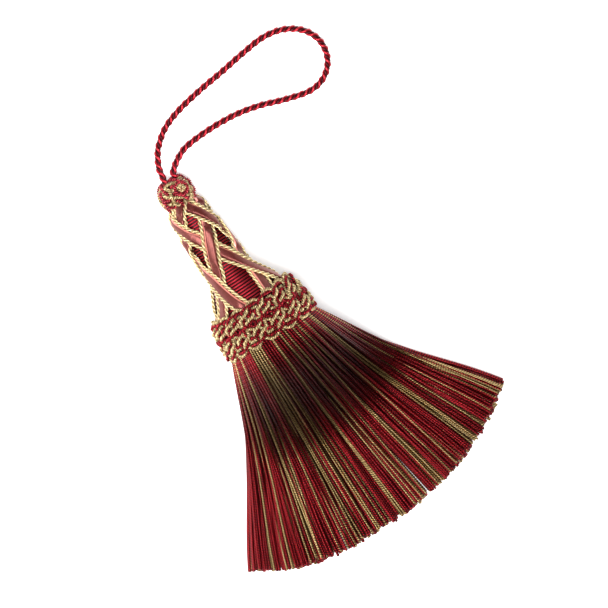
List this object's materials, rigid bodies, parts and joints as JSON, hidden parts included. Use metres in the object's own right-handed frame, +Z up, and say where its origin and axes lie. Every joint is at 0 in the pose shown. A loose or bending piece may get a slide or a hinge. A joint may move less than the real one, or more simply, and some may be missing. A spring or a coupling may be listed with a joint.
{
  "type": "silk tassel",
  "caption": "Decorative silk tassel with a ribbon trellis head, a looped ruff, a fanned skirt and a hanging loop, lying on its side.",
  "frame": {"origin": "on the surface that the tassel lies on, in the middle of its outline without the hanging loop", "axes": "+Z up from the surface, +Y along the tassel towards its knot, skirt towards -Y"},
  "size_m": [0.1395, 0.202, 0.0442],
  "materials": {
    "head_cord": "ribbed crimson silk cord, wound close",
    "satin_ribbon": "dusty rose satin",
    "gold_piping": "pale gold two-ply twist, silky",
    "gimp_cord": "red and gold wrapped gimp",
    "silk_strands": "twisted crimson and gold silk strands",
    "loop_cord": "two-ply crimson and burgundy twist"
  },
  "bodies": {
    "root": {"head": "head_cord", "ribbon_a1": "satin_ribbon", "ribbon_a2": "satin_ribbon", "ribbon_a3": "satin_ribbon", "ribbon_a4": "satin_ribbon", "ribbon_b1": "satin_ribbon", "ribbon_b2": "satin_ribbon", "ribbon_b3": "satin_ribbon", "ribbon_b4": "satin_ribbon", "piping_a1_left": "gold_piping", "piping_a1_right": "gold_piping", "piping_a2_left": "gold_piping", "piping_a2_right": "gold_piping", "piping_a3_left": "gold_piping", "piping_a3_right": "gold_piping", "piping_a4_left": "gold_piping", "piping_a4_right": "gold_piping", "piping_b1_left": "gold_piping", "piping_b1_right": "gold_piping", "piping_b2_left": "gold_piping", "piping_b2_right": "gold_piping", "piping_b3_left": "gold_piping", "piping_b3_right": "gold_piping", "piping_b4_left": "gold_piping", "piping_b4_right": "gold_piping", "ruff": "gimp_cord", "knot": "gimp_cord", "skirt": "silk_strands", "loop_cord": "loop_cord"}
  },
  "joints": []
}
